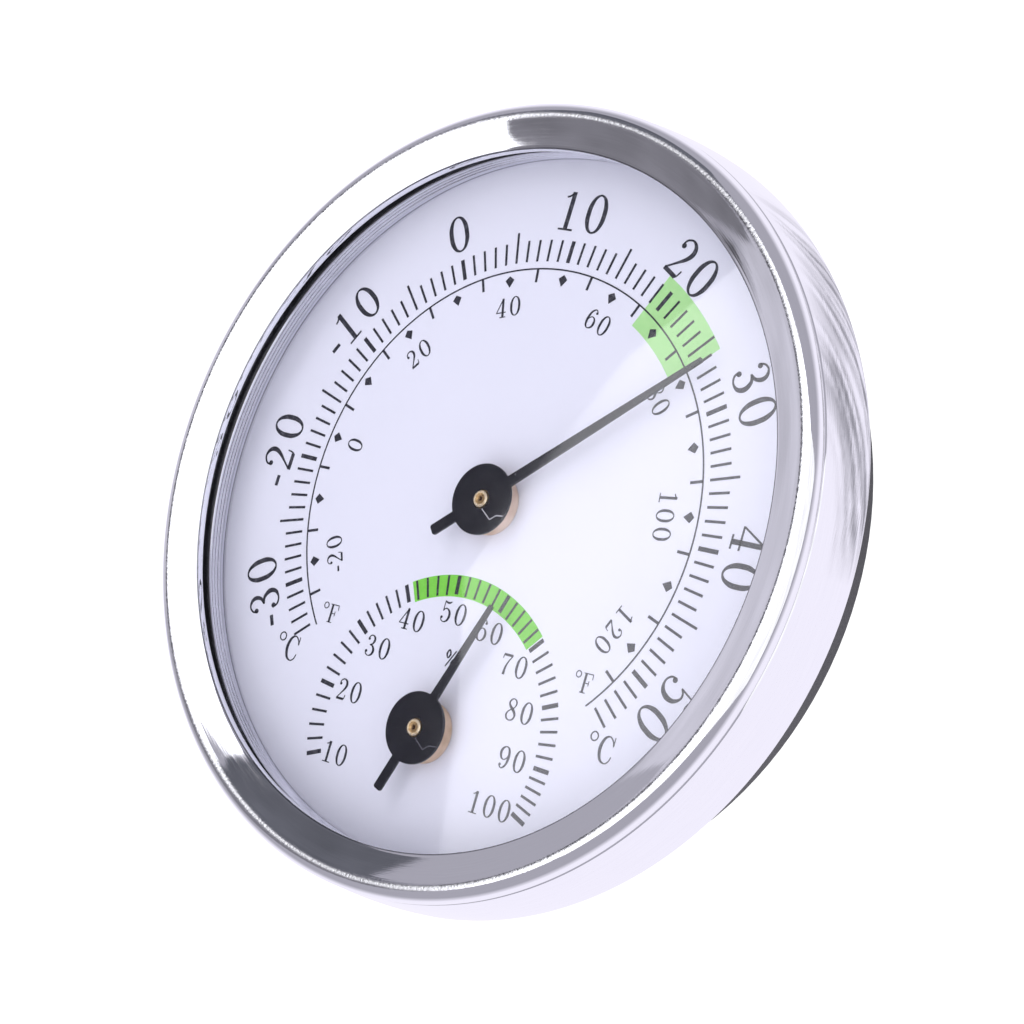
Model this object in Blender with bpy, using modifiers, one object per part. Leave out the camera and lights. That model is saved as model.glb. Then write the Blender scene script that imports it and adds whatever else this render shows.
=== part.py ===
"""Round wall thermometer-hygrometer: a spun aluminium case with two coil-driven pointers.

Each pointer turns on a brass axle. A flat spiral under the pointer's hub is held by the axle at its
inner end and by the pointer's tab at its outer end. The axle is held by friction, for setting.

The pieces are modelled as seen from the front: x to the right, y up and z off the wall, towards the
viewer. One empty, instrument, turns them all so that the face looks along -Y with +Z up, and the
origin is the centre of the back face, on the wall.
"""

import math

import bmesh
import bpy
from mathutils import Matrix, Vector

MM = 0.001

# Case, radii
case_radius = 36.0 * MM
bezel_width = 4.8 * MM
bezel_wall = 0.6 * MM
roll_radius = 1.2 * MM
wall_flare = 0.6 * MM
rear_curl = 1.1 * MM
groove_drop = 1.4 * MM
groove_width = 0.3 * MM
groove_depth = 0.12 * MM
dish_depth = 0.02 * MM
cover_rear_radius_step = 3.4 * MM
cover_wall = 1.6 * MM
cover_edge_radius = 0.8 * MM

# Case, depths
cover_floor = 1.5 * MM
movement_space = 6.5 * MM
plate_thickness = 0.5 * MM
dial_thickness = 0.6 * MM
dial_space = 2.4 * MM
lens_thickness = 1.0 * MM
lens_chamfer = 0.15 * MM
lens_recess = 1.0 * MM
face_rise = 1.0 * MM
flange_thickness = 0.6 * MM
flange_overhang = 0.5 * MM
widest_above_edge = 1.3 * MM

# Clearances
touch_gap = 0.3 * MM
fine_gap = 0.1 * MM
stack_clearance = 0.45 * MM
running_clearance = 0.1 * MM
sweep_clearance = 0.5 * MM

# Axles and what holds them
hygrometer_edge_distance = 10.6 * MM
axle_radius = 0.75 * MM
axle_seat_radius = 1.0 * MM
axle_dimple_radius = 0.3 * MM
axle_dimple_depth = 0.2 * MM
axle_tip_rise = 0.15 * MM
axle_tail = 0.5 * MM
axle_slot_width = 0.4 * MM
axle_slot_depth = 0.5 * MM
bush_wall = 0.75 * MM
bush_flange_radius = 2.8 * MM
bush_flange_thickness = 0.6 * MM
washer_radius = 2.2 * MM
washer_thickness = 0.3 * MM
clip_radius = 1.8 * MM
clip_thickness = 0.4 * MM
clip_mouth = math.radians(70)
pointer_washer_radius = 1.3 * MM
pointer_washer_thickness = 0.15 * MM

# Spirals
coil_radius = 2.9 * MM
thermometer_turns = 4.5
thermometer_strip = 0.15 * MM
hygrometer_turns = 3.0
hygrometer_strip = 0.25 * MM

# Pointers
needle_thickness = 0.3 * MM
hub_radius = 3.2 * MM
tab_width = 0.8 * MM
tab_thickness = 0.2 * MM
tab_foot_gap = 0.4 * MM
pointer_gap = 2.2 * MM
thermometer_needle_edge_gap = 7.1 * MM
thermometer_tail = 5.8 * MM
thermometer_needle_width = 1.0 * MM
hygrometer_tail = 6.4 * MM
hygrometer_needle_width = 0.9 * MM
needle_tip_width = 0.45 * MM
thermometer_reading_angle = math.radians(50.9)
hygrometer_reading_angle = math.radians(20.5)
hygrometer_scale_end = math.radians(112)

# Openings of the rear cover
keyhole_edge_distance = 10.6 * MM
keyhole_head_radius = 4.2 * MM
keyhole_slot_width = 4.4 * MM
keyhole_slot_rise = 6.0 * MM
setting_hole_radius = 3.2 * MM
vent_edge_distance = 6.8 * MM
vent_width = 1.8 * MM
vent_arc = math.radians(30)
vent_angles = [math.radians(a) for a in (-152, -104, -56, 56, 104, 152)]

case_steps = 64
bush_steps = 24
axle_steps = 16
strip_steps_per_turn = 20

# Worked-out heights above the wall
plate_bottom = cover_floor + movement_space
plate_top = plate_bottom + plate_thickness
dial_back = plate_top + touch_gap
dial_face = dial_back + dial_thickness
lens_bottom = dial_face + dial_space
lens_top = lens_bottom + lens_thickness
opening_height = lens_top + lens_recess
front_height = opening_height + face_rise
cover_rim_height = plate_bottom - touch_gap
flange_bottom = cover_rim_height - flange_thickness
rear_edge_height = flange_bottom - touch_gap - bezel_wall
widest_height = rear_edge_height + widest_above_edge

axle_tip = lens_bottom - touch_gap
needle_top = axle_tip - axle_tip_rise
needle_bottom = needle_top - needle_thickness
pointer_washer_top = needle_bottom - fine_gap
pointer_washer_bottom = pointer_washer_top - pointer_washer_thickness
coil_top = pointer_washer_bottom - fine_gap
coil_bottom = dial_face + fine_gap
bush_flange_top = plate_bottom - touch_gap
bush_back = bush_flange_top - bush_flange_thickness
washer_top = bush_back - touch_gap
washer_bottom = washer_top - washer_thickness
clip_top = washer_bottom - touch_gap
clip_bottom = clip_top - clip_thickness
axle_end = clip_bottom - axle_tail

# Worked-out radii
opening_radius = case_radius - bezel_width
stack_radius = case_radius - wall_flare - groove_depth - bezel_wall - stack_clearance
rear_edge_radius = case_radius - rear_curl
cover_front_radius = rear_edge_radius - bezel_wall - touch_gap
cover_rear_radius = case_radius - cover_rear_radius_step
flange_radius = cover_front_radius + bezel_wall + flange_overhang - touch_gap
bush_bore_radius = axle_radius + running_clearance
bush_radius = bush_bore_radius + bush_wall
keyhole_height = cover_rear_radius - keyhole_edge_distance
pivot_drop = opening_radius - hygrometer_edge_distance
thermometer_tip = opening_radius - thermometer_needle_edge_gap

# The humidity needle clears the other pointer above it and the spacer ring at the scale's ends.
sweep_radius = opening_radius - sweep_clearance
side_reach = pivot_drop * math.cos(hygrometer_scale_end)
ring_reach = side_reach + math.sqrt(side_reach ** 2 + sweep_radius ** 2 - pivot_drop ** 2)
hygrometer_tip = min(ring_reach, pivot_drop - thermometer_tail - pointer_gap)

thermometer_pivot = Vector((0, 0))
hygrometer_pivot = Vector((0, -pivot_drop))


def new_collection(name):
    group = bpy.data.collections.new(name)
    bpy.context.scene.collection.children.link(group)
    return group


def new_material(name, colour, roughness, metallic=0.0):
    material = bpy.data.materials.new(name)
    material.use_nodes = True
    shader = material.node_tree.nodes["Principled BSDF"]
    shader.inputs["Base Color"].default_value = (*colour, 1)
    shader.inputs["Roughness"].default_value = roughness
    shader.inputs["Metallic"].default_value = metallic
    return material


def add_empty(name, parent=None, place=(0, 0, 0), rotation=(0, 0, 0)):
    empty = bpy.data.objects.new(name, None)
    empty.parent = parent
    empty.location = place
    empty.rotation_euler = rotation
    piece_group.objects.link(empty)
    return empty


def add_piece(name, data, parent, material):
    piece = bpy.data.objects.new(name, data)
    data.materials.clear()
    data.materials.append(material)
    piece.parent = parent
    piece_group.objects.link(piece)
    return piece


def add_cutter(name, data, parent):
    cutter = bpy.data.objects.new(name, data)
    cutter.parent = parent
    cutter.hide_render = True
    cutter.display_type = "WIRE"
    cutter_group.objects.link(cutter)
    return cutter


def cut(piece, cutter, operation="DIFFERENCE"):
    boolean = piece.modifiers.new(cutter.name, "BOOLEAN")
    boolean.operation = operation
    boolean.solver = "EXACT"
    boolean.object = cutter


def turned(name, profile, steps, parent, material, closed=True):
    """A turned piece: its (radius, height) profile runs down the outer side, top to bottom."""
    mesh = bpy.data.meshes.new(name)
    last = len(profile) - 1
    edges = [(i, i + 1) for i in range(last)]
    if closed:
        edges.append((last, 0))
    mesh.from_pydata([(radius, 0, height) for radius, height in profile], edges, [])
    piece = add_piece(name, mesh, parent, material)
    screw = piece.modifiers.new("turn", "SCREW")
    screw.axis = "Z"
    screw.steps = steps
    screw.render_steps = steps
    screw.use_merge_vertices = True
    screw.merge_threshold = 0.000001
    screw.use_smooth_shade = False
    return piece


def circle(radius, steps=axle_steps, centre=(0, 0)):
    turns = [2 * math.pi * i / steps for i in range(steps)]
    return [(centre[0] + radius * math.cos(a), centre[1] + radius * math.sin(a)) for a in turns]


def arc(centre, radius, start, end, steps):
    angles = [start + (end - start) * i / steps for i in range(steps + 1)]
    return [(centre[0] + radius * math.cos(a), centre[1] + radius * math.sin(a)) for a in angles]


def plate_curve(name, outlines, bottom, top):
    """A flat stamped shape: its first outline is the edge and the others are holes."""
    curve = bpy.data.curves.new(name, "CURVE")
    curve.dimensions = "2D"
    curve.fill_mode = "BOTH"
    curve.extrude = (top - bottom) / 2
    for outline in outlines:
        spline = curve.splines.new("POLY")
        spline.points.add(len(outline) - 1)
        for point, (x, y) in zip(spline.points, outline):
            point.co = (x, y, (top + bottom) / 2, 1)
        spline.use_cyclic_u = True
    return curve


def plate_mesh(name, outlines, bottom, top):
    """The same flat shape as one welded mesh, which can be cut and can cut."""
    holder = bpy.data.objects.new(name, plate_curve(name, outlines, bottom, top))
    piece_group.objects.link(holder)
    bpy.context.view_layer.update()
    evaluated = holder.evaluated_get(bpy.context.evaluated_depsgraph_get())
    mesh = bpy.data.meshes.new_from_object(evaluated)
    bpy.data.objects.remove(holder)
    welded = bmesh.new()
    welded.from_mesh(mesh)
    bmesh.ops.remove_doubles(welded, verts=welded.verts, dist=0.000001)
    welded.to_mesh(mesh)
    welded.free()
    return mesh


def box_mesh(name, low, high):
    size = Vector(high) - Vector(low)
    middle = (Vector(high) + Vector(low)) / 2
    box = bmesh.new()
    bmesh.ops.create_cube(box, size=1, matrix=Matrix.Translation(middle) @ Matrix.Diagonal((*size, 1)))
    mesh = bpy.data.meshes.new(name)
    box.to_mesh(mesh)
    box.free()
    return mesh


def arc_slot(centre, radius, width, start, end):
    """Outline of a curved slot with round ends, anticlockwise."""
    inner_end = (centre[0] + radius * math.cos(end), centre[1] + radius * math.sin(end))
    inner_start = (centre[0] + radius * math.cos(start), centre[1] + radius * math.sin(start))
    half = width / 2
    outline = arc(centre, radius + half, start, end, 8)
    outline += arc(inner_end, half, end, end + math.pi, 4)[1:-1]
    outline += arc(centre, radius - half, end, start, 8)
    outline += arc(inner_start, half, start + math.pi, start + 2 * math.pi, 4)[1:-1]
    return outline


def offset_inside(profile, distance):
    """Moves an open profile to its right-hand side, with mitred corners."""
    points = [Vector(p) for p in profile]
    moved = []
    for i, point in enumerate(points):
        before = (point - points[i - 1]).normalized() if i else (points[1] - point).normalized()
        after = (points[i + 1] - point).normalized() if i < len(points) - 1 else before
        side_before = Vector((before.y, -before.x))
        side_after = Vector((after.y, -after.x))
        middle = (side_before + side_after).normalized()
        moved.append(tuple(point + middle * distance / middle.dot(side_before)))
    return moved


def bezel_outer_profile(grooved):
    """From the lip behind the opening, over the dished face and the roll, down to the rear edge."""
    lip_end = (opening_radius, lens_top + touch_gap)
    opening_corner = (opening_radius, opening_height)
    roll_centre = (case_radius - wall_flare - roll_radius, front_height - roll_radius)
    roll = arc(roll_centre, roll_radius, math.radians(105), 0, 6)
    face_middle = (
        (opening_radius + roll[0][0]) / 2,
        (opening_height + roll[0][1]) / 2 - dish_depth,
    )
    profile = [lip_end, opening_corner, face_middle] + roll
    groove_height = front_height - groove_drop
    groove_top = (roll[-1][0], groove_height + groove_width / 2)
    groove_floor = (roll[-1][0] - groove_depth, groove_height)
    wall_top = (roll[-1][0], groove_height - groove_width / 2)
    if grooved:
        profile += [groove_top, groove_floor]
    profile.append(wall_top)
    for step in range(1, 5):
        share = 1 - step / 4
        height = widest_height + (wall_top[1] - widest_height) * share
        profile.append((case_radius - wall_flare * share ** 2, height))
    for step in range(1, 5):
        share = step / 4
        height = widest_height - widest_above_edge * share
        profile.append((case_radius - rear_curl * share ** 2, height))
    return profile


def add_case():
    inner = offset_inside(bezel_outer_profile(False), bezel_wall)
    outline = bezel_outer_profile(True) + inner[::-1]
    turned("bezel_shell", outline, case_steps, instrument, polished_aluminium)
    lens_outline = [
        (0, lens_top),
        (stack_radius - lens_chamfer, lens_top),
        (stack_radius, lens_top - lens_chamfer),
        (stack_radius, lens_bottom),
        (0, lens_bottom),
    ]
    turned("lens", lens_outline, case_steps, instrument, clear_glass, closed=False)
    ring_top = lens_bottom - touch_gap
    ring_bottom = dial_face + touch_gap
    ring_outline = [
        (opening_radius, ring_top),
        (stack_radius, ring_top),
        (stack_radius, ring_bottom),
        (opening_radius, ring_bottom),
    ]
    turned("spacer_ring", ring_outline, case_steps, instrument, bright_chrome)
    disc = circle(stack_radius, case_steps)
    pivots = (thermometer_pivot, hygrometer_pivot)
    dial_holes = [circle(bush_radius + touch_gap, bush_steps, pivot) for pivot in pivots]
    dial = plate_curve("dial_plate", [disc] + dial_holes, dial_back, dial_face)
    add_piece("dial_plate", dial, instrument, printed_white)
    plate_holes = [circle(bush_radius + fine_gap, bush_steps, pivot) for pivot in pivots]
    plate = plate_curve("movement_plate", [disc] + plate_holes, plate_bottom, plate_top)
    add_piece("movement_plate", plate, instrument, plated_steel)


def add_rear_cover():
    inner_front = cover_front_radius - cover_wall
    inner_rear = cover_rear_radius - cover_wall
    edge_centre = (cover_rear_radius - cover_edge_radius, cover_edge_radius)
    outline = [
        (0, cover_floor),
        (inner_rear, cover_floor),
        (inner_front, flange_bottom),
        (inner_front, cover_rim_height),
        (flange_radius, cover_rim_height),
        (flange_radius, flange_bottom),
        (cover_front_radius, flange_bottom),
        (cover_front_radius, rear_edge_height),
    ]
    outline += arc(edge_centre, cover_edge_radius, 0, -math.pi / 2, 4)
    outline.append((0, 0))
    cover = turned("rear_cover", outline, case_steps, instrument, black_plastic, closed=False)
    low = -cover_floor
    high = 2 * cover_floor
    half_slot = keyhole_slot_width / 2
    head_centre = (0, keyhole_height)
    slot_centre = (0, keyhole_height + keyhole_slot_rise)
    corner = math.acos(half_slot / keyhole_head_radius)
    keyhole = arc(head_centre, keyhole_head_radius, math.pi - corner, 2 * math.pi + corner, 16)
    keyhole += arc(slot_centre, half_slot, 0, math.pi, 6)
    cut(cover, add_cutter("keyhole_cut", plate_mesh("keyhole_cut", [keyhole], low, high), instrument))
    slots = [circle(setting_hole_radius, bush_steps, hygrometer_pivot)]
    vent_radius = cover_rear_radius - vent_edge_distance
    for angle in vent_angles:
        start = math.pi / 2 - angle - vent_arc / 2
        slots.append(arc_slot((0, 0), vent_radius, vent_width, start, start + vent_arc))
    for number, slot in enumerate(slots, 1):
        name = f"cover_slot_{number}"
        cut(cover, add_cutter(name, plate_mesh(name, [slot], low, high), instrument))


def add_bush(kind, frame):
    """The flanged brass bush, pressed through both plates from behind."""
    outline = [
        (bush_bore_radius, dial_face),
        (bush_radius, dial_face),
        (bush_radius, bush_flange_top),
        (bush_flange_radius, bush_flange_top),
        (bush_flange_radius, bush_back),
        (bush_bore_radius, bush_back),
    ]
    turned(f"{kind}_bush", outline, bush_steps, frame, brass)


def add_axle(kind, frame):
    """The brass axle, its spring washer and clip. Its rear end has a slot for a screwdriver."""
    outline = [
        (0, axle_tip - axle_dimple_depth),
        (axle_dimple_radius, axle_tip),
        (axle_radius, axle_tip),
        (axle_radius, coil_top),
        (axle_seat_radius, coil_top),
        (axle_seat_radius, coil_bottom),
        (axle_radius, coil_bottom),
        (axle_radius, axle_end),
        (0, axle_end),
    ]
    axle = turned(f"{kind}_axle", outline, axle_steps, frame, brass, closed=False)
    half = axle_slot_width / 2
    low = (-half, -2 * axle_radius, axle_end - axle_slot_depth)
    high = (half, 2 * axle_radius, axle_end + axle_slot_depth)
    slot = box_mesh(f"{kind}_axle_slot", low, high)
    cut(axle, add_cutter(f"{kind}_axle_slot", slot, frame))
    bore_radius = axle_radius + running_clearance
    rings = [circle(washer_radius, bush_steps), circle(bore_radius)]
    washer = plate_curve(f"{kind}_spring_washer", rings, washer_bottom, washer_top)
    add_piece(f"{kind}_spring_washer", washer, frame, spring_steel)
    half_mouth = clip_mouth / 2
    clip_edge = arc((0, 0), clip_radius, half_mouth, 2 * math.pi - half_mouth, 18)
    clip_edge += arc((0, 0), bore_radius, 2 * math.pi - half_mouth, half_mouth, 14)
    clip = plate_curve(f"{kind}_retaining_clip", [clip_edge], clip_bottom, clip_top)
    add_piece(f"{kind}_retaining_clip", clip, frame, spring_steel)


def add_coil(kind, frame, turns, strip, reading, strip_material):
    """A flat spiral from the axle's seat out to the pointer's tab, which hangs under the tail."""
    inner_radius = axle_seat_radius + fine_gap + strip / 2
    outer_radius = coil_radius - strip / 2
    tab_angle = -math.pi / 2 - reading
    segments = round(turns * strip_steps_per_turn)
    points = []
    for i in range(segments + 1):
        share = i / segments
        radius = inner_radius + (outer_radius - inner_radius) * share
        angle = tab_angle + 2 * math.pi * turns * (1 - share)
        points.append((radius * math.cos(angle), radius * math.sin(angle)))
    ribbon = bmesh.new()
    line = [ribbon.verts.new((x, y, coil_bottom)) for x, y in points]
    edges = [ribbon.edges.new(pair) for pair in zip(line, line[1:])]
    swept = bmesh.ops.extrude_edge_only(ribbon, edges=edges)["geom"]
    raised = [v for v in swept if isinstance(v, bmesh.types.BMVert)]
    bmesh.ops.translate(ribbon, verts=raised, vec=(0, 0, coil_top - coil_bottom))
    coil_mesh = bpy.data.meshes.new(f"{kind}_coil")
    ribbon.to_mesh(coil_mesh)
    ribbon.free()
    coil = add_piece(f"{kind}_coil", coil_mesh, frame, strip_material)
    solid = coil.modifiers.new("strip", "SOLIDIFY")
    solid.thickness = strip
    solid.offset = 0


def pointer_outline(tip, tail, width):
    """A needle and its tail growing out of the round hub, anticlockwise with the needle upwards."""
    half = width / 2
    meet = math.asin(half / hub_radius)
    up = math.pi / 2
    outline = [(needle_tip_width / 2, tip), (-needle_tip_width / 2, tip)]
    outline += arc((0, 0), hub_radius, up + meet, 3 * up - meet, 12)
    outline += [(-half, -tail), (half, -tail)]
    outline += arc((0, 0), hub_radius, -up + meet, up - meet, 12)
    return outline


def add_pointer(kind, frame, tip, tail, width):
    """The stamped pointer: needle, round hub and tail, with the tab bent down to the coil."""
    bore = circle(axle_radius + running_clearance)
    washer_shape = [circle(pointer_washer_radius), bore]
    heights = (pointer_washer_bottom, pointer_washer_top)
    washer = plate_curve(f"{kind}_pointer_washer", washer_shape, *heights)
    add_piece(f"{kind}_pointer_washer", washer, frame, brass)
    outlines = [pointer_outline(tip, tail, width), bore]
    mesh = plate_mesh(f"{kind}_pointer", outlines, needle_bottom, needle_top)
    pointer = add_piece(f"{kind}_pointer", mesh, frame, black_lacquer)
    inner = coil_radius + running_clearance
    low = (-tab_width / 2, -inner - tab_thickness, dial_face + tab_foot_gap)
    high = (tab_width / 2, -inner, (needle_top + needle_bottom) / 2)
    tab = box_mesh(f"{kind}_pointer_tab", low, high)
    cut(pointer, add_cutter(f"{kind}_pointer_tab", tab, frame), "UNION")


for leftover in list(bpy.data.objects):
    bpy.data.objects.remove(leftover)
piece_group = new_collection("dial_hygrometer")
cutter_group = new_collection("dial_hygrometer_cutters")
polished_aluminium = new_material("polished_aluminium", (0.80, 0.80, 0.83), 0.18, 1.0)
bright_chrome = new_material("bright_chrome", (0.75, 0.75, 0.78), 0.1, 1.0)
clear_glass = new_material("clear_glass", (0.95, 0.96, 1.0), 0.02)
printed_white = new_material("printed_white", (0.78, 0.79, 0.90), 0.5)
plated_steel = new_material("plated_steel", (0.55, 0.55, 0.57), 0.35, 1.0)
spring_steel = new_material("spring_steel", (0.35, 0.35, 0.38), 0.4, 1.0)
bimetal = new_material("bimetal", (0.75, 0.58, 0.45), 0.35, 1.0)
laminate = new_material("laminate", (0.55, 0.42, 0.30), 0.7)
brass = new_material("brass", (0.78, 0.60, 0.36), 0.3, 1.0)
black_lacquer = new_material("black_lacquer", (0.02, 0.02, 0.025), 0.25)
black_plastic = new_material("black_plastic", (0.03, 0.03, 0.03), 0.5)

instrument = add_empty("instrument", rotation=(math.pi / 2, 0, 0))
add_case()
add_rear_cover()

movements = [
    ("thermometer", thermometer_pivot, thermometer_reading_angle,
     thermometer_turns, thermometer_strip, bimetal,
     thermometer_tip, thermometer_tail, thermometer_needle_width),
    ("hygrometer", hygrometer_pivot, hygrometer_reading_angle,
     hygrometer_turns, hygrometer_strip, laminate,
     hygrometer_tip, hygrometer_tail, hygrometer_needle_width),
]
for kind, pivot, reading, turns, strip, strip_material, tip, tail, width in movements:
    axis = add_empty(f"{kind}_axis", instrument, (*pivot, 0))
    add_bush(kind, axis)
    add_axle(kind, axis)
    add_coil(kind, axis, turns, strip, reading, strip_material)
    turning = add_empty(f"{kind}_pointer_axis", axis, rotation=(0, 0, -reading))
    add_pointer(kind, turning, tip, tail, width)
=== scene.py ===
import math

import bmesh
import bpy
from mathutils import Matrix, Vector


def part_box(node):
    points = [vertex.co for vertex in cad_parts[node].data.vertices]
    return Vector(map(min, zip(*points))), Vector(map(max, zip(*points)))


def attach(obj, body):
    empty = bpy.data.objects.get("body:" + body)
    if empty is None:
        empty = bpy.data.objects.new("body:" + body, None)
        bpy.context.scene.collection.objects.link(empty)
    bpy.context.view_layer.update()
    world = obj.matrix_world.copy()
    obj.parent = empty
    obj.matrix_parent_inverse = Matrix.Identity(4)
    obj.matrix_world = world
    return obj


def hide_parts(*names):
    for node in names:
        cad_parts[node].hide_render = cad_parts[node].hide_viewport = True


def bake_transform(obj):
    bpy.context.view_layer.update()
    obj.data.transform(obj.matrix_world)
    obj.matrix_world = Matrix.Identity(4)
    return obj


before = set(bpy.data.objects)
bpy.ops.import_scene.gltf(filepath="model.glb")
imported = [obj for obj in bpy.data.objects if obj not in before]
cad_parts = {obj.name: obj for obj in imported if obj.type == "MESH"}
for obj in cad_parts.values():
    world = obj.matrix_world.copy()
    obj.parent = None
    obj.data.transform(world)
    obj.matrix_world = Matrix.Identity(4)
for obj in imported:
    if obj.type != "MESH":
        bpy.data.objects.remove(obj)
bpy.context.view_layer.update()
MM = 0.001


# Rear cover. A moulded cup of black ABS that closes the back, with a keyhole for a wall screw,
# a hole for the screwdriver that sets the humidity pointer, and six vents that let room air
# reach the spirals. Its flange is held by the turned-in edge of the bezel.

def turned(profile, steps, closed=True):
    """Spins a (radius, height) profile about the middle of the face; heights rise off the wall."""
    work = bmesh.new()
    corners = [work.verts.new((radius, 0, height)) for radius, height in profile]
    edges = [work.edges.new(pair) for pair in zip(corners, corners[1:])]
    if closed:
        edges.append(work.edges.new((corners[-1], corners[0])))
    bmesh.ops.spin(
        work, geom=corners + edges, cent=(0, 0, 0), axis=(0, 0, 1), dvec=(0, 0, 0),
        angle=2 * math.pi, steps=steps, use_merge=True, use_duplicate=False,
    )
    bmesh.ops.remove_doubles(work, verts=work.verts, dist=0.0001 * MM)
    bmesh.ops.recalc_face_normals(work, faces=work.faces)
    return work


def arc_points(centre, radius, start, end, steps):
    """Points on an arc, from start to end in degrees, anticlockwise from three o'clock."""
    points = []
    for step in range(steps + 1):
        angle = math.radians(start + (end - start) * step / steps)
        points.append((centre[0] + radius * math.cos(angle), centre[1] + radius * math.sin(angle)))
    return points


def ease_edges(work, width, segments=2, sharper_than=35):
    """Breaks every edge that is sharper than so many degrees."""
    bmesh.ops.recalc_face_normals(work, faces=work.faces)
    limit = math.radians(sharper_than)
    sharp = [e for e in work.edges if len(e.link_faces) == 2 and e.calc_face_angle(0) > limit]
    bmesh.ops.bevel(
        work, geom=sharp, offset=width, offset_type="OFFSET", segments=segments,
        profile=0.5, affect="EDGES", clamp_overlap=True, material=-1,
    )


def merge_flat_faces(work):
    """Joins neighbouring faces that lie in one plane."""
    bmesh.ops.dissolve_limit(
        work, angle_limit=math.radians(0.2), use_dissolve_boundaries=False,
        verts=work.verts, edges=work.edges,
    )


def raise_faces(work, low, high):
    """Gives flat faces drawn at height 0 their thickness, from low to high."""
    bmesh.ops.translate(work, verts=work.verts, vec=(0, 0, low))
    grown = bmesh.ops.extrude_face_region(work, geom=work.faces[:], use_keep_orig=True)["geom"]
    top = [v for v in grown if isinstance(v, bmesh.types.BMVert)]
    bmesh.ops.translate(work, verts=top, vec=(0, 0, high - low))
    bmesh.ops.recalc_face_normals(work, faces=work.faces)


def made_of(name, work, finish):
    """Turns a shape into an object of one finish, at the origin."""
    mesh = bpy.data.meshes.new(name)
    work.to_mesh(mesh)
    work.free()
    mesh.materials.append(finish)
    piece = bpy.data.objects.new(name, mesh)
    bpy.context.scene.collection.objects.link(piece)
    return piece


def finished(name, work, finish, body, smooth_below=35):
    """Stands a piece up against the wall, as it hangs, and hands it to its moving body."""
    bmesh.ops.rotate(
        work, verts=work.verts, cent=(0, 0, 0), matrix=Matrix.Rotation(math.radians(90), 3, "X")
    )
    piece = made_of(name, work, finish)
    piece.data.shade_smooth()
    piece.data.set_sharp_from_angle(angle=math.radians(smooth_below))
    if body:
        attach(piece, body)
    return piece


def new_finish(name):
    """A fresh material, with its node tree and its shader."""
    finish = bpy.data.materials.new(name)
    finish.use_nodes = True
    return finish, finish.node_tree, finish.node_tree.nodes["Principled BSDF"]


def node(tree, kind, inputs=(), **settings):
    """Adds a node; an input is a plain value or another node's output socket."""
    made = tree.nodes.new(kind)
    for setting, value in settings.items():
        setattr(made, setting, value)
    for socket, value in dict(inputs).items():
        if isinstance(value, bpy.types.NodeSocket):
            tree.links.new(value, made.inputs[socket])
        else:
            made.inputs[socket].default_value = value
    return made


def place_of(tree, scale=(1, 1, 1)):
    """Object coordinates, stretched by scale."""
    where = node(tree, "ShaderNodeTexCoord").outputs["Object"]
    return node(tree, "ShaderNodeMapping", {"Vector": where, "Scale": scale}).outputs["Vector"]


def ranged(tree, value, low, high, out_low, out_high):
    """Stretches a value from one range to another and holds it inside the new one."""
    inputs = {
        "Value": value, "From Min": low, "From Max": high, "To Min": out_low, "To Max": out_high,
    }
    return node(tree, "ShaderNodeMapRange", inputs).outputs["Result"]


def mixed(tree, share, first, second):
    """Blends two colours by share."""
    inputs = {0: share, 6: first, 7: second}
    return node(tree, "ShaderNodeMix", inputs, data_type="RGBA").outputs[2]


def maths(tree, operation, *values):
    return node(tree, "ShaderNodeMath", dict(enumerate(values)), operation=operation).outputs[0]


def vector_maths(tree, operation, *values):
    """Works on vectors; a length, a distance or a dot product comes out as a plain value."""
    made = node(tree, "ShaderNodeVectorMath", dict(enumerate(values)), operation=operation)
    return made.outputs[1 if operation in ("LENGTH", "DISTANCE", "DOT_PRODUCT") else 0]


def noise(tree, where, scale, detail):
    inputs = {"Vector": where, "Scale": scale, "Detail": detail}
    return node(tree, "ShaderNodeTexNoise", inputs).outputs["Fac"]


def bumped(tree, shader, height, strength, distance):
    inputs = {"Height": height, "Strength": strength, "Distance": distance}
    bump = node(tree, "ShaderNodeBump", inputs).outputs["Normal"]
    tree.links.new(bump, shader.inputs["Normal"])


def surfaced(tree, shader, tint, grain, rough_low, rough_high, relief, depth):
    """Gives a finish its colour, and lets one grain set both its gloss and its fine relief."""
    tree.links.new(tint, shader.inputs["Base Color"])
    rough = ranged(tree, grain, 0.3, 0.7, rough_low, rough_high)
    tree.links.new(rough, shader.inputs["Roughness"])
    bumped(tree, shader, grain, relief, depth)


cover_radius = 32.6 * MM
cover_front_radius = 34.0 * MM
cover_wall = 1.6 * MM
cover_floor = 1.5 * MM
cover_corner = 0.8 * MM
flange_radius = 34.8 * MM
flange_bottom = 7.1 * MM
flange_top = 7.7 * MM
bezel_edge_height = 6.2 * MM
keyhole_height = 22.0 * MM
keyhole_radius = 4.2 * MM
keyhole_slot_half = 2.2 * MM
keyhole_slot_rise = 6.0 * MM
setting_hole_radius = 3.2 * MM
humidity_pivot = Vector((0, -20.6 * MM, 0))
vent_radius = 25.8 * MM
vent_half_width = 0.9 * MM
vent_half_arc = 15
vent_places = (-152, -104, -56, 56, 104, 152)
ring_step_radius = 30.4 * MM
ring_step_depth = 0.25 * MM
ring_step_width = 0.5 * MM
cover_edge_break = 0.12 * MM

black_plastic, tree, shader = new_finish("black_abs_plastic")
grain = noise(tree, place_of(tree), 5200, 4)
cloud = noise(tree, place_of(tree), 130, 3)
tint = mixed(tree, cloud, (0.010, 0.010, 0.011, 1), (0.022, 0.022, 0.025, 1))
surfaced(tree, shader, tint, grain, 0.36, 0.52, 0.35, 0.02 * MM)

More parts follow.
